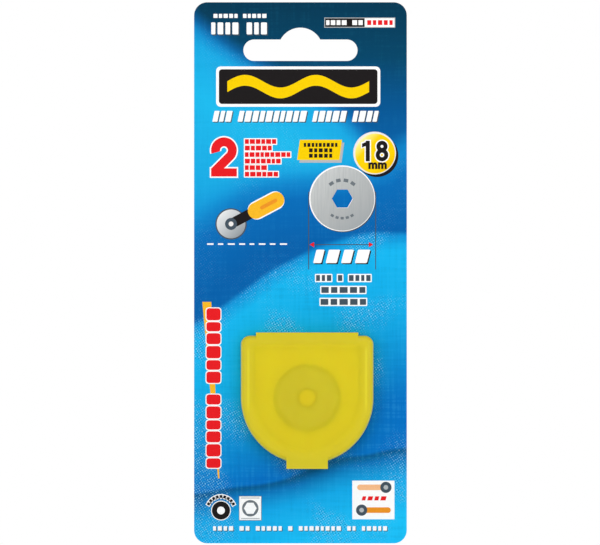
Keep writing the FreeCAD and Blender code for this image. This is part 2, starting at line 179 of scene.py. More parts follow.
def ramp(value, stops):
    # stops are pairs of a share from 0 to 1 and a screen colour
    node = addNode(value, "ShaderNodeValToRGB")
    plug(value, node.inputs[0])
    elements = node.color_ramp.elements
    for index, (place, colour) in enumerate(stops):
        element = elements[index] if index < 2 else elements.new(place)
        element.position = place
        element.color = screenColour(*colour)
    return node.outputs[0]


def roughen(shader, height, depth, strength):
    # depth is the relief in millimetres
    node = addNode(shader, "ShaderNodeBump")
    setInputs(node, {"Distance": depth * mm, "Strength": strength})
    plug(height, node.inputs["Height"])
    plug(node.outputs[0], shader.inputs["Normal"])


def paint(shader, colour, roughness):
    plug(colour, shader.inputs["Base Color"])
    plug(roughness, shader.inputs["Roughness"])


def dress(name, material):
    for materialSlot in nodes[name].material_slots:
        materialSlot.material = material


def addObject(name, data):
    made = bpy.data.objects.new(name, data)
    bpy.context.scene.collection.objects.link(made)
    return made


# Camera, light and floor

stageSettings = {
    "viewWidth": 160.8,  # millimetres across the picture
    "viewCentre": (-0.12, -65.62),
    "cameraDistance": 600,
    "background": 1.0, "ambient": 0.54,
    "floorColour": (250, 250, 248), "floorShade": (0.6, 0.6, 0.6, 1), "floorSize": 3000, "floorDrop": 0.1,
    # name, place, size, power, and whether it shows in shiny faces: the front light only fills shadows
    "lights": [
        ("leftLight", (-400, -600, 10), (300, 420), 0.68, True),
        ("rightLight", (400, -600, 10), (300, 420), 0.68, True),
        ("topLight", (0, -600, 400), (420, 300), 0.64, True),
        ("frontLight", (0, -640, -60), (260, 260), 0.72, False),
        ("backLight", (260, 620, 220), (500, 500), 1.7, True),
    ],
}


def makeCamera(settings):
    data = bpy.data.cameras.new("camera")
    data.type = "ORTHO"
    data.ortho_scale = settings["viewWidth"] * mm
    camera = addObject("camera", data)
    centreX, centreZ = settings["viewCentre"]
    camera.location = (centreX * mm, -settings["cameraDistance"] * mm, centreZ * mm)
    camera.rotation_euler = (pi / 2, 0, 0)
    bpy.context.scene.camera = camera


def makeWorld(settings):
    world = bpy.data.worlds.new("studio")
    bpy.context.scene.world = world
    world.use_nodes = True
    background = world.node_tree.nodes["Background"]
    background.inputs["Color"].default_value = (1, 1, 1, 1)
    strength = addNode(background, "ShaderNodeMapRange")
    setInputs(strength, {"To Min": settings["ambient"], "To Max": settings["background"]})
    plug(addNode(background, "ShaderNodeLightPath").outputs["Is Camera Ray"], strength.inputs["Value"])
    plug(strength.outputs[0], background.inputs["Strength"])


def makeLight(name, place, size, power, glossy):
    data = bpy.data.lights.new(name, "AREA")
    data.shape = "RECTANGLE"
    data.size = size[0] * mm
    data.size_y = size[1] * mm
    data.energy = power
    lamp = addObject(name, data)
    lamp.location = [value * mm for value in place]
    lamp.rotation_euler = ((cardLow + cardHigh) / 2 - lamp.location).to_track_quat("-Z", "Y").to_euler()
    lamp.visible_camera = False
    lamp.visible_glossy = glossy


def makeFloor(settings):
    bpy.ops.mesh.primitive_plane_add(size=settings["floorSize"] * mm)
    floor = bpy.context.object
    floor.name = "floor"
    floor.location.z = cardLow.z - settings["floorDrop"] * mm
    material, shader = newMaterial("paleFloor")
    shade = times(noise(millimetres(shader)[0], 0.02), 0.04)
    paint(shader, mix(shade, settings["floorColour"], settings["floorShade"]), 0.8)
    floor.data.materials.append(material)


bpy.context.scene.view_settings.view_transform = "Standard"
makeCamera(stageSettings)
makeWorld(stageSettings)
for light in stageSettings["lights"]:
    makeLight(*light)
bpy.ops.object.select_all(action="DESELECT")
makeFloor(stageSettings)
print("Stage: camera, world, lights and floor are ready")


# Card: printed and coated in front, bare board behind and at its cut edges

cardBoard = {
    "faceDepth": 0.24,  # what lies nearer to a face than this is printed or bare board
    "coreColour": (232, 229, 220),
    "backColour": (226, 224, 217),
    "backSpeck": (168, 160, 146),
    "wobble": 5.0, "wobbleScale": 0.035,
    "ground": [(0.0, (0, 54, 80)), (0.10, (0, 68, 102)), (0.20, (0, 86, 148)), (0.34, (4, 104, 180)),
               (0.6, (8, 120, 194))],
    "threadPitch": 0.84, "threadLean": 0.22, "threadWander": 6.5,
    # lit and dark marks: the smooth step that gives each one's share, and its colour
    "streaks": [((0.98, 1.35, 0.0, 0.13), (62, 190, 240)), ((1.02, 0.65, 0.0, 0.13), (0, 78, 150))],
    "threads": [((0.0, 0.9, 0.0, 0.75), (150, 218, 246)), ((0.0, -0.9, 0.0, 0.60), (0, 84, 156))],
    "frontRoughness": 0.34, "frontGloss": 0.05, "bareRoughness": 0.82,
}

# Each fold of the printed cloth: a point on its edge, the way that it spreads from there, the depth
# and rate at which its edge bows, half the width over which it starts, how far its weave shows,
# and its colours by the distance from the edge
clothFolds = [
    ((-8, -10), (-0.66, -0.75), (4.0, 0.07), 3.0, 0.30,
     [(0, (10, 112, 186)), (5, (22, 168, 226)), (16, (27, 184, 235)), (60, (16, 150, 216))]),
    ((2, -38), (0.35, -0.94), (-4.0, 0.09), 4.5, 0.24,
     [(0, (14, 146, 214)), (8, (2, 108, 184)), (22, (0, 94, 168)), (60, (2, 112, 188))]),
    ((-14, -70), (0.28, -0.96), (5.5, 0.06), 1.0, 1.0,
     [(0, (10, 142, 212)), (5, (18, 182, 240)), (20, (14, 172, 232)), (46, (0, 112, 196))]),
    ((0, -119), (0.10, -0.995), (3.5, 0.055), 0.7, 0.9,
     [(0, (0, 80, 128)), (2.5, (6, 118, 188)), (8, (16, 170, 234)), (18, (26, 194, 248))]),
]


def foldDistance(across, along, point, spread, bow):
    # how far a point lies inside the fold's edge, in millimetres
    offX, offZ = offsets(across, along, point)
    straight = sumOf(offX, spread[0], offZ, spread[1])
    bend = calc("SINE", times(sumOf(offX, -spread[1], offZ, spread[0]), bow[1]))
    return calc("MULTIPLY_ADD", bend, bow[0], straight)


def printedCloth(vector, across, along):
    # the cloth's colour, and how far its weave shows
    wander = calc("SUBTRACT", noise(vector, cardBoard["wobbleScale"], 1.5), 0.5)
    along = calc("MULTIPLY_ADD", wander, cardBoard["wobble"], along)
    drop = calc("DIVIDE", calc("SUBTRACT", cardHigh.z / mm, along), (cardHigh.z - cardLow.z) / mm)
    colour = ramp(drop, cardBoard["ground"])
    share = 0.0
    for point, spread, bow, soft, weave, tones in clothFolds:
        inside = foldDistance(across, along, point, spread, bow)
        reach = tones[-1][0]
        stops = [(place / reach, tone) for place, tone in tones]
        mask = soften(inside, -soft, soft)
        colour = mix(mask, colour, ramp(calc("DIVIDE", inside, reach), stops))
        share = mix(mask, share, weave, "FLOAT")
    return colour, share


def knots(vector, across, along):
    # where two crossing threads lie on top, from -1 to 1, uneven from knot to knot
    turn = 2 * pi / cardBoard["threadPitch"]
    lean = cardBoard["threadLean"]
    height = soften(noise(vector, 1.3, 1.0), 0.35, 0.65, 0.3, 1.0)
    for side, share, way, stretch in ((across, lean, along, (0.5, 1.0, 1.2)),
                                      (along, -lean, across, (1.2, 1.0, 0.5))):
        shift = times(noise(stretched(vector, *stretch), 0.8), cardBoard["threadWander"])
        run = calc("MULTIPLY_ADD", side, share, way)
        height = times(height, calc("SINE", calc("MULTIPLY_ADD", run, turn, shift)))
    return height


def makeCardMaterial():
    material, shader = newMaterial("printedBoard")
    vector, across, depth, along = millimetres(shader)
    picture, share = printedCloth(vector, across, along)
    level = noise(stretched(vector, 0.09, 1.0, 1.5), 1.0)
    upright = noise(stretched(vector, 1.5, 1.0, 0.09), 1.0)
    streaks = calc("ADD", level, upright)
    near = calc("MULTIPLY_ADD", share, 0.8, 0.2)  # the cloth's upper part is out of focus
    for steps, colour in cardBoard["streaks"]:
        picture = mix(times(soften(streaks, *steps), near), picture, colour)
    patch = soften(noise(vector, 0.05, 1.0), 0.42, 0.60)
    threads = times(knots(vector, across, along), patch, share)
    for steps, colour in cardBoard["threads"]:
        picture = mix(soften(threads, *steps), picture, colour)
    fibre = noise(stretched(vector, 1.0, 1.0, 2.6), 3.2, 6.0, 0.7)
    bare = mix(soften(fibre, 0.52, 0.68, 0.0, 0.5), cardBoard["backColour"], cardBoard["backSpeck"])
    plies = noise(stretched(vector, 0.6, 14.0, 0.6), 1.0, 3.0, 0.6)
    core = mix(soften(plies, 0.35, 0.75, 0.0, 0.5), cardBoard["coreColour"], cardBoard["backSpeck"])
    isFront = calc("LESS_THAN", depth, -cardBoard["faceDepth"])
    isBack = calc("GREATER_THAN", depth, cardBoard["faceDepth"])
    bareGloss = around(fibre, cardBoard["bareRoughness"], 0.12)
    gloss = around(fibre, cardBoard["frontRoughness"], 0.10)
    paint(shader, mix(isFront, mix(isBack, core, bare), picture), mix(isFront, bareGloss, gloss, "FLOAT"))
    shader.inputs["Specular IOR Level"].default_value = cardBoard["frontGloss"]
    roughen(shader, fibre, 0.012, 0.5)
    return material


dress("card", makeCardMaterial())
print("Card: printed cloth, bare back and board edges")


# Case: translucent moulded plastic. The base is the same plastic, closed behind by the card

casePlastic = {
    "windowColour": (252, 238, 42),
    "rimColour": (227, 211, 36),
    "baseColour": (252, 240, 34),
    "postColour": (232, 206, 34),
    "postRadius": 2.35,
    "filmColour": (220, 204, 36),
    "window": 0.42,  # how much of the light each thin face turns back over the inside
    "solid": 0.84,  # the same where the plastic is thick: rim, tab and strip
    "windowReach": (16.4, 13.4),  # from the blades' centre: where it is thick, and where thin
    "windowTop": (1.4, 4.4),  # the same, below the case's top
    "sideHighlightColour": (255, 246, 60),
    "sideHighlightReach": (15.3, 15.6, 15.9, 16.2),  # a painted highlight line over each side lip
    "sideHighlightHeights": (-104, -100, -87, -85),
    "sideHighlightShare": 0.45,
    "paintedEdgeTone": (240, 240, 110),
    "edgeHighlightReach": (17.1, 17.3, 17.85, 17.95),  # a painted highlight along the rounded outer edge
    "edgeHighlightDrop": (0.3, 0.7, 1.0, 1.7),  # and how far behind the front face it lies
    "edgeHighlightShare": 0.6,
    "tint": (0.985, 0.94, 0.68, 1),
    "flowColour": (200, 150, 20),
    "roughness": 0.30, "gloss": 0.3, "grainDepth": 0.006,
    "glowColour": (1.0, 0.80, 0.10), "glowReach": 0.5,
}


def caseReach(across, along):
    # how far a point lies from the case's middle: round below the blades' centre, straight above it
    offX, offZ = offsets(across, along, bladePlace)
    return lengthOf(offX, calc("MINIMUM", offZ, 0.0))


def windowMask(across, along):
    # 1 over the hollow inside the case, 0 over its walls, strip and tab
    heights = [caseHigh.z / mm - drop for drop in casePlastic["windowTop"]]
    return times(soften(caseReach(across, along), *casePlastic["windowReach"]), soften(along, *heights))


def paintedEdgeHighlight(across, depth, along):
    # how much of the painted highlight on the edge shows: only on the rounding of the lid's outline
    drops = [caseLow.y / mm + drop for drop in casePlastic["edgeHighlightDrop"]]
    inReach = plateau(caseReach(across, along), casePlastic["edgeHighlightReach"])
    return times(inReach, plateau(depth, drops), casePlastic["edgeHighlightShare"])


def paintedSideHighlight(across, along):
    # how much of the painted highlight line shows: on the straight side walls, where the lips lie behind
    off = calc("ABSOLUTE", calc("SUBTRACT", across, bladePlace[0]))
    inHeight = plateau(along, casePlastic["sideHighlightHeights"])
    return times(plateau(off, casePlastic["sideHighlightReach"]), inHeight, casePlastic["sideHighlightShare"])


def postMask(across, along):
    # 1 over the post's end
    radius = lengthOf(*offsets(across, along, bladePlace))
    return soften(radius, casePlastic["postRadius"] + 0.1, casePlastic["postRadius"])


def makeCaseMaterial(name, colour, window=None):
    # only the lid has a window that lets the blades show through
    material, shader = newMaterial(name)
    vector, across, depth, along = millimetres(shader)
    mask = windowMask(across, along)
    if window is None:
        tones = [(postMask(across, along), "postColour")]
    else:
        # painted highlight: a lighter line over each side lip
        tones = [(mask, "windowColour"), (paintedSideHighlight(across, along), "sideHighlightColour"),
                 # painted highlight: a paler line along the lid's rounded edge
                 (paintedEdgeHighlight(across, depth, along), "paintedEdgeTone")]
    flow = noise(stretched(vector, 1.0, 1.0, 0.5), 0.16)
    for share, tone in tones + [(soften(flow, 0.35, 0.7, 0.0, 0.05), "flowColour")]:
        colour = mix(share, colour, casePlastic[tone])
    grain = noise(vector, 7.0)
    paint(shader, colour, around(grain, casePlastic["roughness"], 0.12))
    setInputs(shader, {"IOR": 1.49, "Specular IOR Level": casePlastic["gloss"], "Subsurface Weight": 0.25,
                       "Subsurface Radius": casePlastic["glowColour"],
                       "Subsurface Scale": casePlastic["glowReach"] * mm})
    roughen(shader, grain, casePlastic["grainDepth"], 0.6)
    if window is not None:
        clear = addNode(shader, "ShaderNodeBsdfTransparent")
        clear.inputs["Color"].default_value = casePlastic["tint"]
        mixed = addNode(shader, "ShaderNodeMixShader")
        share = calc("MULTIPLY_ADD", mask, window - casePlastic["solid"], casePlastic["solid"])
        for value, socket in zip((share, clear.outputs[0], shader.outputs[0]), mixed.inputs):
            plug(value, socket)
        plug(mixed.outputs[0], material.node_tree.nodes["Material Output"].inputs["Surface"])
    return material


dress("case_lid", makeCaseMaterial("lidPlastic", casePlastic["rimColour"], casePlastic["window"]))
dress("case_base", makeCaseMaterial("basePlastic", casePlastic["baseColour"]))
print("Case: lid and base plastic")


# Blades: faces brushed round the centre, with a darker ground bevel, partly the bevel's own finish and partly
# painted shade that deepens towards the rim

bladeSteel = {
    "faceColour": (0.43, 0.44, 0.46, 1),
    "grooveColour": (0.30, 0.31, 0.33, 1),
    # the bevel's tone is partly its ground finish and partly painted shade; the edge tone is painted shade at
    # the rim
    "bevelColour": (0.15, 0.155, 0.16, 1),
    "paintedEdgeTone": (0.08, 0.085, 0.095, 1),
    "bevelWidth": 1.1, "faceRoughness": 0.34, "bevelRoughness": 0.30, "brushScale": 9.0,
}


def makeBladeMaterial():
    material, shader = newMaterial("groundSteel")
    vector, across, depth, along = millimetres(shader)
    offX, offZ = offsets(across, along, bladePlace)
    radius = lengthOf(offX, offZ)
    angle = calc("ARCTAN2", offZ, offX)
    polar = addNode(shader, "ShaderNodeCombineXYZ")
    plug(times(radius, bladeSteel["brushScale"]), polar.inputs[0])
    plug(calc("SINE", angle), polar.inputs[1])
    plug(calc("COSINE", angle), polar.inputs[2])
    brush = noise(polar.outputs[0], 1.0, 4.0, 0.6)
    bevelStart = bladeRadius - bladeSteel["bevelWidth"]
    onBevel = soften(radius, bevelStart - 0.04, bevelStart + 0.04)
    face = mix(soften(brush, 0.42, 0.66), bladeSteel["faceColour"], bladeSteel["grooveColour"])
    # painted shade: the bevel darkens towards the rim, so the disc's edge looks crisp
    paintedRimShade = soften(radius, bevelStart + 0.2, bladeRadius - 0.1)
    bevel = mix(paintedRimShade, bladeSteel["bevelColour"], bladeSteel["paintedEdgeTone"])
    faceGloss = around(brush, bladeSteel["faceRoughness"], 0.18)
    paint(shader, mix(onBevel, face, bevel), mix(onBevel, faceGloss, bladeSteel["bevelRoughness"], "FLOAT"))
    shader.inputs["Metallic"].default_value = 1.0
    roughen(shader, brush, 0.004, 0.6)
    return material


bladeMaterial = makeBladeMaterial()
dress("rear_blade", bladeMaterial)
dress("front_blade", bladeMaterial)
print("Blades: brushed faces and ground bevels")


# Adhesive pad: soft off-white foam tape, hidden between card and case

padFoam = {"colour": (222, 221, 214), "poreColour": (180, 178, 168), "poreScale": 5.0, "roughness": 0.6}


def makePadMaterial():
    material, shader = newMaterial("foamTape")
    pores = noise(millimetres(shader)[0], padFoam["poreScale"], 4.0, 0.65)
    colour = mix(soften(pores, 0.45, 0.7), padFoam["colour"], padFoam["poreColour"])
    paint(shader, colour, padFoam["roughness"])
    roughen(shader, pores, 0.03, 0.7)
    return material


dress("adhesive_pad", makePadMaterial())
print("Adhesive pad: foam tape")


# Small helpers for meshes

def choose(piece):
    bpy.ops.object.select_all(action="DESELECT")
    piece.select_set(True)
    bpy.context.view_layer.objects.active = piece


def setMode(mode):
    bpy.ops.object.mode_set(mode=mode)


def startEdit(piece):
    choose(piece)
    setMode("EDIT")
    bpy.ops.mesh.select_mode(type="VERT")


def selectAll(action="SELECT"):
    bpy.ops.mesh.select_all(action=action)


def selectVertices(piece, wanted):
    # wanted takes a vertex place in metres and says whether it is picked
    selectAll("DESELECT")
    setMode("OBJECT")
    for vertex in piece.data.vertices:
        vertex.select = wanted(piece.matrix_world @ vertex.co)
    setMode("EDIT")


def moveVertices(piece, wanted, right, up):
    # moves the picked vertices by millimetres
    selectVertices(piece, wanted)
    bpy.ops.transform.translate(value=(right * mm, 0, up * mm))


def thicken(shift):
    # turns flat shapes into solid ones, with every face outward
    selectAll()
    bpy.ops.mesh.extrude_region_move(TRANSFORM_OT_translate={"value": shift})
    selectAll()
    bpy.ops.mesh.normals_make_consistent(inside=False)


def settle(piece, name, material, body="pack"):
    # the place goes into the mesh, and the piece rides on its body
    setMode("OBJECT")
    choose(piece)
    bpy.ops.object.transform_apply(location=True, rotation=True, scale=True)
    piece.name = name
    piece.data.name = name
    piece.data.materials.clear()
    piece.data.materials.append(material)
    if body is not None:
        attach(piece, body)


# Hinge film: one thin strip with a notch across its middle, where the real hinge folds

hingeFilm = {"thick": 0.115, "segments": 28, "notchWidth": 0.36, "notchDepth": 0.045, "foldReach": 0.42}


def makeHingeFilm(settings):
    hingeY = (filmLow.y + filmHigh.y) / 2
    span = filmHigh.y - filmLow.y
    thick = settings["thick"] * mm
    bpy.ops.object.select_all(action="DESELECT")
    bpy.ops.mesh.primitive_grid_add(x_subdivisions=1, y_subdivisions=settings["segments"], size=1,
                                    location=((filmLow.x + filmHigh.x) / 2, hingeY, filmLow.z))
    film = bpy.context.object
    film.scale = (filmHigh.x - filmLow.x, span, 1)
    bpy.ops.object.transform_apply(location=False, rotation=False, scale=True)
    startEdit(film)
    thicken((0, 0, thick))
    halfNotch = settings["notchWidth"] / 2 * mm
    step = span / settings["segments"]
    top = filmLow.z + thick
    for index in range(settings["segments"] + 1):
        place = filmLow.y + index * step
        off = abs(place - hingeY)
        if off < halfNotch:
            sink = settings["notchDepth"] * cos(off / halfNotch * pi / 2)
            moveVertices(film, lambda spot: abs(spot.y - place) < step / 4 and abs(spot.z - top) < 1e-5,
                         0, -sink)
    material = makeCaseMaterial("filmPlastic", casePlastic["filmColour"])
    settle(film, "hinge_film", material, None)
    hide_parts("living_hinge")
    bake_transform(film)


makeHingeFilm(hingeFilm)


# Print: thin ink shapes on the card's face, in layers that stand on each other

blockWidths = (1.0, 0.84, 1.1, 0.92, 0.76, 1.04, 0.88, 1.12)
inkLayers = {"root": 0.01, "step": 0.015}  # how far ink reaches into the board, and each layer's rise
inkPlane = cardFace + inkLayers["root"] * mm
strokeLift = 0.3  # strokes of one figure that cross stand this share of a layer apart
inkFinish = {"gloss": 0.05, "roughness": 0.36, "spread": 0.10, "relief": 0.004}
inkColours = {
    "white": (255, 255, 255), "black": (30, 27, 28), "red": (235, 30, 36), "yellow": (252, 210, 0),
    "gold": (250, 188, 40), "orange": (240, 150, 40), "peach": (250, 190, 140), "grey": (182, 187, 190),
    "shadow": (70, 84, 96), "slate": (112, 120, 126), "pale": (238, 236, 234),
}
inkMottle = {"white": 0.08, "pale": 0.16}  # how far these darken in spots; the others take 0.48


def newInk(name):
    # a material with fine dots, gloss and relief that still needs its colour
    material, shader = newMaterial(name)
    vector, across, depth, along = millimetres(shader)
    dots = noise(vector, 4.5, 3.0, 0.6)
    plug(around(dots, inkFinish["roughness"], inkFinish["spread"]), shader.inputs["Roughness"])
    shader.inputs["Specular IOR Level"].default_value = inkFinish["gloss"]
    roughen(shader, dots, inkFinish["relief"], 0.4)
    return material, shader, dots, vector, across, along


def makeInk(name, colour, mottle):
    material, shader, dots, *places = newInk(name)
    darker = tuple(channel * 0.9 for channel in colour)
    plug(mix(soften(dots, 0.4, 0.75, 0.0, mottle), colour, darker), shader.inputs["Base Color"])
    return material


def makeShadedInk(name, centre, radius, tones, lean=(0.71, -0.71), streakColour=None):
    # an ink whose tone runs across a disc the way that lean points, from 0 to 1
    material, shader, dots, vector, across, along = newInk(name)
    offX, offZ = offsets(across, along, centre)
    run = sumOf(offX, lean[0], offZ, lean[1])
    colour = ramp(calc("MULTIPLY_ADD", run, 0.5 / radius, 0.5), tones)
    if streakColour is not None:
        streak = noise(stretched(vector, 4.5, 1.0, 0.12), 1.0, 3.0, 0.6)
        colour = mix(soften(streak, 0.40, 0.68, 0.0, 0.35), colour, streakColour)
    plug(colour, shader.inputs["Base Color"])
    return material


inks = {name: makeInk(name + "Ink", colour, inkMottle.get(name, 0.48)) for name, colour in inkColours.items()}


def startPlate(layer):
    # an empty mesh in edit mode, whose flat shapes closePlate gives their thickness
    plate = addObject("plate", bpy.data.meshes.new("plate"))
    plate["layer"] = layer
    startEdit(plate)
    return plate


def addBox(left, right, bottom, top):
    centre = ((left + right) / 2 * mm, inkPlane, (bottom + top) / 2 * mm)
    bpy.ops.mesh.primitive_plane_add(size=mm, rotation=(pi / 2, 0, 0), location=centre)
    bpy.ops.transform.resize(value=(right - left, 1, top - bottom), center_override=centre)


def addCircle(centreX, centreZ, radius, corners=72, fill="NGON", turn=0.0):
    bpy.ops.mesh.primitive_circle_add(
        vertices=corners, radius=radius * mm, fill_type=fill, rotation=(pi / 2, turn, 0),
        location=(centreX * mm, inkPlane, centreZ * mm))


def addRing(centreX, centreZ, outer, inner, innerCorners=72, turn=0.0):
    # a flat ring on an empty plate, bridged between its outer and inner outlines
    for radius, corners in ((outer, 72), (inner, innerCorners)):
        addCircle(centreX, centreZ, radius, corners, "NOTHING", turn)
    selectAll()
    bpy.ops.mesh.bridge_edge_loops()


def turnShape(angle, centreX, centreZ):
    bpy.ops.transform.rotate(value=angle, orient_axis="Y",
                             center_override=(centreX * mm, inkPlane, centreZ * mm))


def addArcMarks(centreX, centreZ, radius, middle, step, count, width, height):
    # blocks on an arc, each made at the top of its circle and turned into place; angles in degrees
    foot = centreZ + radius - height / 2
    for index in range(count):
        addBox(centreX - width / 2, centreX + width / 2, foot, foot + height)
        turnShape(radians(middle + (index - (count - 1) / 2) * step), centreX, centreZ)


def slant(plate, split, shift):
    # leans the shapes by moving what lies above split
    moveVertices(plate, lambda spot: spot.z > split * mm, shift, 0)


def roundCorners(radius, segments=4):
    selectAll()
    bpy.ops.mesh.bevel(offset=radius * mm, segments=segments, affect="VERTICES")


def closePlate(plate, name, ink):
    thicken((0, -(inkLayers["root"] + inkLayers["step"] * plate["layer"]) * mm, 0))
    del plate["layer"]
    settle(plate, name, inks[ink])


def inset(box, edge):
    left, right, bottom, top = box
    return left + edge, right - edge, bottom + edge, top - edge


def makeBox(name, ink, layer, box, corner=0.0, lean=0.0):
    # box is left, right, bottom and top
    plate = startPlate(layer)
    addBox(*box)
    if corner:
        roundCorners(corner)
    if lean:
        slant(plate, (box[2] + box[3]) / 2, lean)
    closePlate(plate, name, ink)


def makeDisc(name, ink, layer, centreX, centreZ, radius):
    plate = startPlate(layer)
    addCircle(centreX, centreZ, radius)
    closePlate(plate, name, ink)


def makeRing(name, ink, layer, centreX, centreZ, radius, holeRadius, holeCorners=72):
    plate = startPlate(layer)
    addRing(centreX, centreZ, radius, holeRadius, holeCorners, pi / 6)
    closePlate(plate, name, ink)


def makeBar(name, ink, layer, start, end, thick):
    # a round-ended bar between two points, made flat and then turned about its middle
    middleX, middleZ = [(a + b) / 2 for a, b in zip(start, end)]
    run = hypot(end[0] - start[0], end[1] - start[1])
    plate = startPlate(layer)
    addBox(middleX - run / 2, middleX + run / 2, middleZ - thick / 2, middleZ + thick / 2)
    bpy.ops.mesh.bevel(offset=thick * 0.49 * mm, segments=8, affect="VERTICES")
    turnShape(atan2(end[1] - start[1], end[0] - start[0]), middleX, middleZ)
    closePlate(plate, name, ink)


def rowWords(left, right, words, gap):
    # uneven blocks in words, such as (5, 3), that fill the way from left to right, as lists of edges
    widths = []
    for word in words:
        for block in range(word):
            widths.append(blockWidths[(len(widths) + word) % len(blockWidths)])
        widths.append(0)  # a space between words
    widths.pop()
    spare = right - left - gap * (len(widths) - 1)
    unit = spare / (sum(widths) + 0.7 * widths.count(0))
    spans = [[]]
    place = left
    for width in widths:
        if width:
            spans[-1].append((place, place + width * unit))
        else:
            spans.append([])
        place += (width or 0.7) * unit + gap
    return spans


def makeRows(name, ink, layer, rows, grow=0.0, shift=(0.0, 0.0), lean=0.0, corner=0.0):
    # a row is left, right, bottom, top, its words and the gap between blocks;
    # grow makes one outline round each word, shift a shadow
    plate = startPlate(layer)
    for left, right, bottom, top, words, gap in rows:
        for word in rowWords(left, right, words, gap):
            blocks = [(word[0][0], word[-1][1])] if grow else word
            for first, last in blocks:
                addBox(first - grow + shift[0], last + grow + shift[0],
                       bottom - grow + shift[1], top + grow + shift[1])
    if lean:
        slant(plate, (rows[0][2] + rows[0][3]) / 2 + shift[1], lean)
    if corner + grow > 0:
        roundCorners(corner + grow * 0.6, 2)
    closePlate(plate, name, ink)


def makeLetters(name, settings, ink="black", layer=5):
    # the plain unit under the size, as type made into a mesh
    bpy.ops.object.select_all(action="DESELECT")
    bpy.ops.object.text_add(rotation=(pi / 2, 0, 0))
    text = bpy.context.object.data
    text.body = settings["unit"]
    text.size = settings["unitHeight"] * mm / 0.72  # a capital stands about 0.72 of the type size
    text.offset = settings["unitBold"] * mm
    text.space_character = settings["unitSpacing"]
    text.resolution_u = 6
    text.extrude = (inkLayers["root"] + inkLayers["step"] * layer) * mm / 2
    bpy.ops.object.convert(target="MESH")
    letters = bpy.context.object
    bpy.ops.object.transform_apply(location=True, rotation=True, scale=True)
    sides = list(zip(*[vertex.co for vertex in letters.data.vertices]))
    middleX, middleZ = [(min(side) + max(side)) / 2 for side in (sides[0], sides[2])]
    placeX, placeZ = settings["unitPlace"]
    letters.location = (placeX * mm - middleX, inkPlane - max(sides[1]), placeZ * mm - middleZ)
    startEdit(letters)
    selectAll()
    bpy.ops.mesh.remove_doubles(threshold=1e-7)
    bpy.ops.mesh.normals_make_consistent(inside=False)
    settle(letters, name, inks[ink])


# Head of the card: two short rows, a small label and the wide panel

headRows = {
    "small": [(-23.3, -9.1, 2.6, 3.7, (5, 5), 0.36)],
    "large": [(-23.9, -9.0, -1.8, 1.4, (4, 3), 0.6)],
    "label": (6.4, 25.4, 0.0, 2.7),
    "labelEdge": 0.2,
    "labelSplit": 17.2,
    "labelRows": [(6.9, 16.7, 0.7, 2.0, (4, 2), 0.36)],
    "labelMarks": [(17.9, 24.7, 0.7, 2.0, (5,), 0.45)],
}


def makeHeadRows(settings):
    makeRows("head_row_shadow", "shadow", 1, settings["large"], shift=(0.3, -0.3))
    makeRows("head_row_small", "white", 2, settings["small"], corner=0.1)
    makeRows("head_row_large", "white", 2, settings["large"], corner=0.2)
    split = settings["labelSplit"]
    left, right, bottom, top = inset(settings["label"], settings["labelEdge"])
    makeBox("head_label_edge", "grey", 1, settings["label"])
    makeBox("head_label_dark", "black", 2, (left, split, bottom, top))
    makeBox("head_label_white", "white", 2, (split, right, bottom, top))
    makeRows("head_label_row", "white", 3, settings["labelRows"])
    makeRows("head_label_marks", "red", 3, settings["labelMarks"])


makeHeadRows(headRows)

headPanel = {
    "box": (-22.6, 21.4, -21.2, -10.4),
    "corner": 1.2, "border": 0.75,
    "waves": 2, "waveRise": 1.7, "waveThick": 2.9, "waveSteps": 60, "waveEnds": 3.0,
    "row": [(-23.6, 20.4, -25.2, -22.3, (3, 10, 5, 4), 0.44)],
}


def makeHeadPanel(settings):
    border = settings["border"]
    left, right, bottom, top = settings["box"]
    makeBox("panel_border", "white", 1, settings["box"], settings["corner"])
    makeBox("panel_field", "black", 2, inset(settings["box"], border), settings["corner"] - border / 2)
    # a plain wave, one box cut along its length and then bent vertex by vertex
    start = left + settings["waveEnds"]
    run = right - settings["waveEnds"] - start
    foot = (bottom + top - settings["waveThick"]) / 2
    steps = settings["waveSteps"]
    places = [start + run * step / steps for step in range(steps + 1)]
    plate = startPlate(3)
    addBox(start, start + run, foot, foot + settings["waveThick"])
    for place in places[1:-1]:
        selectAll()
        bpy.ops.mesh.bisect(plane_co=(place * mm, 0, 0), plane_no=(1, 0, 0))
    for step, place in enumerate(places):
        lift = settings["waveRise"] * sin(2 * pi * settings["waves"] * step / steps)
        moveVertices(plate, lambda spot: abs(spot.x - place * mm) < 1e-5, 0, lift)
    closePlate(plate, "panel_wave", "yellow")
    makeRows("panel_row_shadow", "shadow", 1, settings["row"], shift=(0.25, -0.25), lean=0.6)
    makeRows("panel_row", "white", 2, settings["row"], lean=0.6, corner=0.12)


makeHeadPanel(headPanel)
print("Print: head of the card")


# Count, its six rows, the yellow label and the round size badge

countMark = {
    "centre": (-20.5, -34.65), "height": 10.5, "width": 6.9, "stroke": 2.4, "base": 2.2,
    "terminal": 195, "leave": -45, "diagonal": 5.75,  # degrees round the bowl, and the slanting run's length
    "outline": 0.36,
    "rowLeft": -14.9, "rowRights": (-6.5, -7.7, -2.7, -5.3, -9.0, -6.0), "rowWords": (6, 5, 9, 7, 4, 6),
    "firstRow": -30.52, "rowPitch": 1.75, "rowHeight": 1.26, "rowGap": 0.24,
}


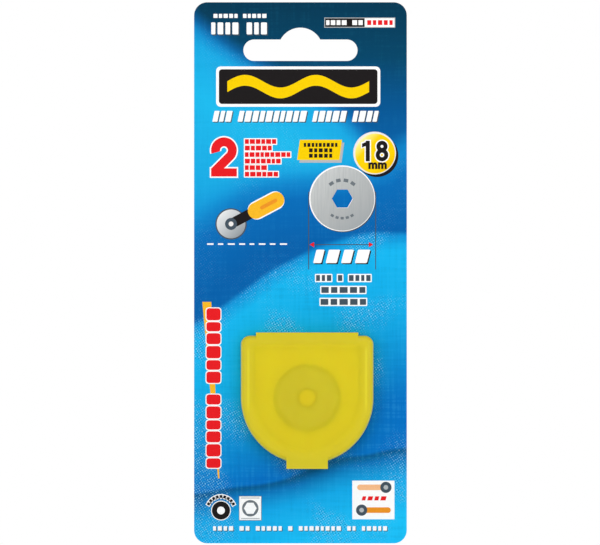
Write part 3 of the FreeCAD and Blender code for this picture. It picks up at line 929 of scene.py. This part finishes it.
def makeFigureTwo(name, ink, layer, settings, grow):
    # a bowl that ends at its terminal, a slanting run that leaves along its tangent, and a base
    centreX, middle = settings["centre"]
    foot = middle - settings["height"] / 2
    outer = settings["width"] / 2
    bowl = foot + settings["height"] - outer
    leave = settings["leave"]

    def angleOf(spot):
        return degrees(atan2(spot.z - bowl * mm, spot.x - centreX * mm))

    plate = startPlate(layer)
    addRing(centreX, bowl, outer + grow, outer - settings["stroke"] - grow)
    selectVertices(plate, lambda spot: settings["terminal"] - 359 < angleOf(spot) < leave - 1)
    bpy.ops.mesh.delete(type="VERT")
    selectVertices(plate, lambda spot: abs(angleOf(spot) - leave) < 1)
    run = (settings["diagonal"] + grow) * mm
    bpy.ops.mesh.extrude_region_move(
        TRANSFORM_OT_translate={"value": (sin(radians(leave)) * run, 0, -cos(radians(leave)) * run)})
    closePlate(plate, name + "_stroke", ink)
    base = (centreX - outer, centreX + outer, foot, foot + settings["base"])
    makeBox(name + "_base", ink, layer + strokeLift, inset(base, -grow))


def makeCount(settings):
    makeFigureTwo("count_outline", "white", 1, settings, settings["outline"])
    makeFigureTwo("count_figure", "red", 2, settings, 0.0)
    rows = []
    left, height, gap = settings["rowLeft"], settings["rowHeight"], settings["rowGap"]
    top = settings["firstRow"] + height / 2
    for right, blocks in zip(settings["rowRights"], settings["rowWords"]):
        rows.append((left, right, top - height, top, (blocks,), gap))
        top -= settings["rowPitch"]
    makeRows("count_rows_outline", "white", 1, rows, grow=0.27)
    makeRows("count_rows", "red", 2, rows)


makeCount(countMark)

steelLabel = {
    "box": (-0.9, 10.4, -35.45, -30.05),
    "lean": 0.75,
    "shadow": (0.6, -0.75),
    "rows": [
        (0.9, 9.9, -31.95, -30.9, (9,), 0.34),
        (2.3, 8.5, -33.4, -32.35, (5,), 0.4),
        (2.3, 8.5, -34.85, -33.8, (5,), 0.4),
    ],
}


def makeSteelLabel(settings):
    left, right, bottom, top = settings["box"]
    shiftX, shiftZ = settings["shadow"]
    shadowBox = (left + shiftX, right + shiftX, bottom + shiftZ, top + shiftZ)
    makeBox("label_shadow", "grey", 1, shadowBox, lean=settings["lean"])
    makeBox("label_field", "yellow", 2, settings["box"], lean=settings["lean"])
    makeRows("label_rows", "black", 3, settings["rows"])


makeSteelLabel(steelLabel)

sizeBadge = {
    "centre": (19.88, -33.6), "radius": 5.73, "rim": 0.4, "shadow": (0.62, -0.7),
    "tones": [(0.0, (255, 252, 226)), (0.13, (255, 238, 120)), (0.3, (252, 212, 10)), (0.8, (252, 208, 0)),
              (1.0, (236, 188, 0))],
    "foot": -35.82, "height": 5.5, "stroke": 1.1, "outline": 0.3,
    "oneLeft": 17.5, "flagReach": 1.0, "flagDrop": 0.75, "flagThick": 1.05, "flagRise": 0.6,
    "eightCentre": 21.85, "upperRadius": 1.5, "lowerRadius": 1.7,
    "unit": "mm", "unitPlace": (20.68, -37.0), "unitHeight": 2.3, "unitBold": 0.16, "unitSpacing": 1.04,
}


def makeFigureOne(name, ink, layer, settings, grow):
    left = settings["oneLeft"]
    foot = settings["foot"]
    top = foot + settings["height"]
    stroke = settings["stroke"]
    makeBox(name + "_stem", ink, layer, inset((left, left + stroke, foot, top), -grow))
    flagTop = top - settings["flagDrop"]
    plate = startPlate(layer + strokeLift)
    addBox(left - grow - settings["flagReach"], left + stroke / 2, flagTop - settings["flagThick"] - grow,
           flagTop + grow)
    moveVertices(plate, lambda spot: spot.x > (left - grow) * mm, 0, settings["flagRise"])
    closePlate(plate, name + "_flag", ink)


def makeFigureEight(name, ink, layer, settings, grow):
    # two rings that share one stroke where they meet
    lower = settings["foot"] + settings["lowerRadius"]
    upper = settings["foot"] + settings["height"] - settings["upperRadius"]
    for part, place, lift in (("lower", lower, 0.0), ("upper", upper, strokeLift)):
        radius = settings[part + "Radius"]
        makeRing(name + "_" + part, ink, layer + lift, settings["eightCentre"], place, radius + grow,
                 radius - settings["stroke"] - grow)


def makeSizeBadge(settings):
    centreX, centreZ = settings["centre"]
    shiftX, shiftZ = settings["shadow"]
    radius = settings["radius"]
    rim = settings["rim"]
    inks["badge"] = makeShadedInk("badgeInk", settings["centre"], radius, settings["tones"])
    makeDisc("badge_shadow", "black", 1, centreX + shiftX, centreZ + shiftZ, radius)
    makeDisc("badge_rim", "pale", 2, centreX, centreZ, radius)
    makeDisc("badge_field", "badge", 3, centreX + rim / 3, centreZ - rim / 3, radius - rim)
    for name, ink, layer, grow in (("badge_outline", "white", 4, settings["outline"]),
                                   ("badge_figure", "black", 5, 0.0)):
        makeFigureOne(name + "_one", ink, layer, settings, grow)
        makeFigureEight(name + "_eight", ink, layer, settings, grow)
    makeLetters("badge_unit", settings)


makeSizeBadge(sizeBadge)
print("Print: count, label and badge")


# Picture of a blade with its width marked, and four rows under it

bladePicture = {
    "centre": (11.18, -45.76), "radius": 8.84, "rim": 0.28, "hexRadius": 2.84, "lean": (0.6, -0.8),
    "tones": [(0.0, (206, 208, 208)), (0.35, (188, 191, 191)), (0.7, (176, 179, 180)),
              (1.0, (162, 167, 170))],
    "streakColour": (156, 162, 165),
    "arcMarks": [(4.9, 0, 24, 4, 1.25, 0.9), (5.3, 180, 15, 5, 0.85, 0.7)],  # as addArcMarks takes them
    "lineLeft": 2.2, "lineRight": 20.16, "lineTop": -44.0, "lineBottom": -64.8, "lineThick": 0.22,
    "arrowHeight": -58.15, "arrowHead": 1.3,
    "title": [(3.4, 17.8, -63.1, -59.5, (4,), 1.15)],
    "rows": [
        (4.2, 18.8, -67.9, -66.3, (3, 1, 4), 0.5),
        (5.6, 17.4, -71.1, -69.5, (5,), 0.62),
        (5.4, 17.6, -74.3, -72.7, (5,), 0.62),
    ],
}


def makeArrow(name, ink, settings):
    # a thin line with a three-sided head at each end
    middle = settings["arrowHeight"]
    half = settings["lineThick"] / 2
    head = settings["arrowHead"]
    left = settings["lineLeft"] + 0.4
    right = settings["lineRight"] - 0.8
    makeBox(name + "_line", "shadow", 1, (left + 1, right - 1, middle - half, middle + half))
    plate = startPlate(2)
    for tip, side in ((left, 1), (right, -1)):
        addCircle(tip + side * head / 2, middle, head * 0.6, 3, turn=-side * pi / 2)
    closePlate(plate, name, ink)


def makeBladePicture(settings):
    centreX, centreZ = settings["centre"]
    radius = settings["radius"]
    hexRadius = settings["hexRadius"]
    half = settings["lineThick"] / 2
    plate = startPlate(1)
    for place in (settings["lineLeft"], settings["lineRight"]):
        addBox(place - half, place + half, settings["lineBottom"], settings["lineTop"])
    closePlate(plate, "width_lines", "shadow")
    makeRing("blade_picture_shadow", "shadow", 1, centreX + 0.2, centreZ - 0.25, radius, 3.2)
    makeRing("blade_picture_rim", "white", 2, centreX, centreZ, radius, hexRadius, 6)
    inks["steel"] = makeShadedInk("steelInk", settings["centre"], radius, settings["tones"],
                                  settings["lean"], settings["streakColour"])
    makeRing("blade_picture", "steel", 3, centreX + 0.08, centreZ - 0.08, radius - settings["rim"],
             hexRadius, 6)
    plate = startPlate(4)
    for marks in settings["arcMarks"]:
        addArcMarks(centreX, centreZ, *marks)
    closePlate(plate, "blade_picture_marks", "slate")
    makeArrow("width_arrow", "red", settings)
    makeRows("title_shadow", "black", 1, settings["title"], shift=(0.3, -0.3), lean=0.9)
    makeRows("title_row", "white", 2, settings["title"], lean=0.9, corner=0.25)
    makeRows("fit_rows_outline", "white", 1, settings["rows"], grow=0.3)
    makeRows("fit_rows", "shadow", 2, settings["rows"])


makeBladePicture(bladePicture)
print("Print: blade picture, its width and its rows")


# Plain cutter mark: a leaning bar with a disc at its foot, over a dashed line

cutterMark = {
    "disc": (-18.6, -52.6), "discRadius": 4.2, "hubRadius": 1.6, "boltRadius": 0.65, "edge": 0.34,
    "tones": [(0.0, (232, 234, 235)), (0.45, (196, 200, 203)), (1.0, (140, 147, 153))],
    "barEnd": (-4.6, -45.2), "barThick": 4.3, "neckThick": 2.7, "neckShare": 0.34,
    "gripShares": (0.56, 0.88), "gripThick": 1.0,
    "dashes": [(-25.0, -3.6, -58.2, -57.8, (8,), 1.2)],
}


def makeCutterMark(settings):
    disc = settings["disc"]
    barEnd = settings["barEnd"]
    radius = settings["discRadius"]
    edge = settings["edge"]
    thick = settings["barThick"]
    neck, gripStart, gripEnd = [
        tuple(start + (end - start) * share for start, end in zip(disc, barEnd))
        for share in (settings["neckShare"], *settings["gripShares"])]
    inks["disc"] = makeShadedInk("discInk", disc, radius, settings["tones"])
    makeDisc("mark_disc", "shadow", 1, *disc, radius)
    makeDisc("mark_disc_face", "disc", 2, *disc, radius - edge)
    makeDisc("mark_hub", "shadow", 5, *disc, settings["hubRadius"])
    makeDisc("mark_bolt", "pale", 6, *disc, settings["boltRadius"])
    makeBar("mark_handle_edge", "white", 2.5, neck, barEnd, thick + 2 * edge)
    makeBar("mark_neck", "black", 3, disc, barEnd, settings["neckThick"])
    makeBar("mark_handle", "gold", 4, neck, barEnd, thick)
    makeBar("mark_grip", "orange", 5, gripStart, gripEnd, settings["gripThick"])
    makeRows("mark_dashes", "white", 1, settings["dashes"])


makeCutterMark(cutterMark)
print("Print: cutter mark")


# Column of red blocks on a yellow band, down the left side

sideColumn = {
    "left": -25.2, "right": -21.4, "top": -75.2, "bottom": -118.0, "blocks": (6, 6), "gap": 0.5,
    "outline": 0.24, "corner": 0.7,
    "wedgeTop": (-26.3, -23.9), "wedgeFoot": (-22.1, -21.7), "wedgeHeights": (-120.8, -73.5),
}


def makeSideColumn(settings):
    # a long yellow wedge, drawn as a box whose two ends are then set to their own widths
    foot, top = settings["wedgeHeights"]
    middle = (foot + top) / 2 * mm
    plate = startPlate(1)
    addBox(*settings["wedgeTop"], foot, top)
    for corner, target in zip(settings["wedgeTop"], settings["wedgeFoot"]):
        moveVertices(plate, lambda spot: spot.z < middle and abs(spot.x - corner * mm) < 1e-5,
                     target - corner, 0)
    closePlate(plate, "column_wedge", "gold")
    for name, ink, layer, grow in (("column_outline", "white", 2, settings["outline"]),
                                   ("column_blocks", "red", 3, 0.0)):
        plate = startPlate(layer)
        for word in rowWords(settings["bottom"], settings["top"], settings["blocks"], settings["gap"]):
            for low, high in word:
                addBox(*inset((settings["left"], settings["right"], low, high), -grow))
        roundCorners(settings["corner"] + grow / 2, 3)
        closePlate(plate, name, ink)


makeSideColumn(sideColumn)
print("Print: side column")


# Foot of the card: a plain ring, a box with a hexagon, a small picture panel and the last row

footMarks = {
    "ring": (-21.3, -129.4), "ringRadius": 2.65, "ringInner": 1.05, "ringEdge": 0.22,
    "arcMarks": (3.75, 0, 15.5, 9), "arcBlock": (0.72, 0.8), "arcEdge": 0.22,
    "box": (-16.5, -10.4, -132.1, -125.5), "boxEdge": 0.14, "hexRadius": 2.2, "hexInner": 1.72,
    "boxRowInset": 0.55, "boxRowHeight": 0.26,
    "panel": (13.9, 25.2, -131.75, -121.4),
    "upper": {"bar": ((15.2, -123.2), (22.4, -123.2)), "disc": (22.9, -123.2), "ink": "peach"},
    "lower": {"bar": ((17.0, -129.3), (24.2, -129.3)), "disc": (16.4, -129.3), "ink": "orange"},
    "barThick": 1.5, "barDisc": 1.5, "barHub": 0.62,
    "panelRow": [(16.4, 22.8, -126.7, -125.6, (4,), 0.55)],
    "row": [(-23.4, 23.2, -134.8, -133.6, (4, 2, 5, 1, 8, 2, 5), 0.5)],
}


def makeFootRing(settings):
    ring = settings["ring"]
    radius = settings["ringRadius"]
    width, height = settings["arcBlock"]
    makeDisc("foot_disc", "white", 1, *ring, radius)
    makeRing("foot_ring", "black", 2, *ring, radius - settings["ringEdge"], settings["ringInner"])
    for name, ink, layer, grow in (("foot_arc_edge", "white", 1, settings["arcEdge"]),
                                   ("foot_arc", "black", 2, 0.0)):
        plate = startPlate(layer)
        addArcMarks(*ring, *settings["arcMarks"], width + 2 * grow, height + 2 * grow)
        closePlate(plate, name, ink)


def makeFootBox(settings):
    left, right, bottom, top = settings["box"]
    rowLeft, rowRight, lowRow, highRow = inset(settings["box"], settings["boxRowInset"])
    half = settings["boxRowHeight"] / 2
    makeBox("foot_box_edge", "slate", 1, settings["box"])
    makeBox("foot_box", "white", 2, inset(settings["box"], settings["boxEdge"]))
    makeRing("foot_hexagon", "slate", 3, (left + right) / 2, (bottom + top) / 2, settings["hexRadius"],
             settings["hexInner"], 6)
    plate = startPlate(3)
    for place in (lowRow, highRow):
        addBox(rowLeft, rowRight, place - half, place + half)
    closePlate(plate, "foot_box_rows", "grey")


def makeFootPanel(settings):
    makeBox("foot_panel", "white", 1, settings["panel"])
    for name in ("upper", "lower"):
        mark = settings[name]
        makeBar("foot_bar_" + name, mark["ink"], 2, *mark["bar"], settings["barThick"])
        makeDisc("foot_disc_" + name, "shadow", 3, *mark["disc"], settings["barDisc"])
        makeDisc("foot_hub_" + name, "grey", 4, *mark["disc"], settings["barHub"])
    makeRows("foot_panel_row", "red", 2, settings["panelRow"], lean=0.3)


makeFootRing(footMarks)
makeFootBox(footMarks)
makeFootPanel(footMarks)
makeRows("foot_row_shadow", "shadow", 1, footMarks["row"], shift=(0.2, -0.2))
makeRows("foot_row", "white", 2, footMarks["row"], corner=0.1)
print("Print: foot of the card")
